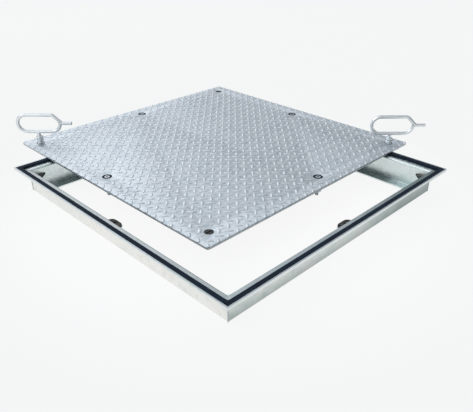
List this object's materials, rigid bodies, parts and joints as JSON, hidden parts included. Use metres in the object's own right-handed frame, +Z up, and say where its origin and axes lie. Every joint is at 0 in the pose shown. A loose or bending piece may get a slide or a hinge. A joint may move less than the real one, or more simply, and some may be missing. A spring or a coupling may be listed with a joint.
{
  "type": "access cover",
  "caption": "Square recessed access cover of tread plate, lying slid back on its folded galvanised frame, with a rubber seal, locking screws and loop lifting keys.",
  "frame": {"origin": "centre of the frame's clear way, in the plane of the underside that the frame stands on", "axes": "+Z up; +X and +Y square to the two back sides of the frame, towards which the cover is slid"},
  "size_m": [0.8025, 0.8295, 0.1412],
  "materials": {
    "galvanised_sheet": "hot-dip zinc on folded sheet, soft spangle",
    "tread_plate": "hot-dip zinc on rolled tread plate, dull blue-grey",
    "key_steel": "bright zinc plate",
    "plated_steel": "zinc plate",
    "galvanised_fittings": "hot-dip zinc",
    "seal_rubber": "matt solid rubber",
    "plug_plastic": "moulded, matt"
  },
  "bodies": {
    "root": {"frame_rail_back_right": "galvanised_sheet", "frame_rail_back_left": "galvanised_sheet", "frame_rail_front_left": "galvanised_sheet", "frame_rail_front_right": "galvanised_sheet", "frame_lip_back_right": "galvanised_sheet", "frame_lip_back_left": "galvanised_sheet", "frame_lip_front_left": "galvanised_sheet", "frame_lip_front_right": "galvanised_sheet", "corner_gusset_back": "galvanised_sheet", "corner_gusset_left": "galvanised_sheet", "corner_gusset_front": "galvanised_sheet", "corner_gusset_right": "galvanised_sheet", "side_lug_back_right": "galvanised_sheet", "side_lug_back_left": "galvanised_sheet", "side_lug_front_left": "galvanised_sheet", "side_lug_front_right": "galvanised_sheet", "lug_pad_back_right": "seal_rubber", "lug_pad_back_left": "seal_rubber", "lug_pad_front_left": "seal_rubber", "lug_pad_front_right": "seal_rubber", "lug_bush_back_right": "plated_steel", "lug_bush_back_left": "plated_steel", "lug_bush_front_left": "plated_steel", "lug_bush_front_right": "plated_steel", "frame_seal": "seal_rubber", "cover_plate": "tread_plate", "key_socket_back": "galvanised_fittings", "key_socket_left": "galvanised_fittings", "key_socket_front": "galvanised_fittings", "key_socket_right": "galvanised_fittings", "socket_plug_back": "plug_plastic", "socket_plug_front": "plug_plastic", "lifting_key_left": "key_steel", "lifting_key_right": "key_steel", "screw_ferrule_back_right": "galvanised_fittings", "screw_ferrule_back_left": "galvanised_fittings", "screw_ferrule_front_left": "galvanised_fittings", "screw_ferrule_front_right": "galvanised_fittings", "screw_ring_back_right": "seal_rubber", "screw_ring_back_left": "seal_rubber", "screw_ring_front_left": "seal_rubber", "screw_ring_front_right": "seal_rubber", "locking_screw_back_right": "plated_steel", "locking_screw_back_left": "plated_steel", "locking_screw_front_left": "plated_steel", "locking_screw_front_right": "plated_steel"}
  },
  "joints": []
}
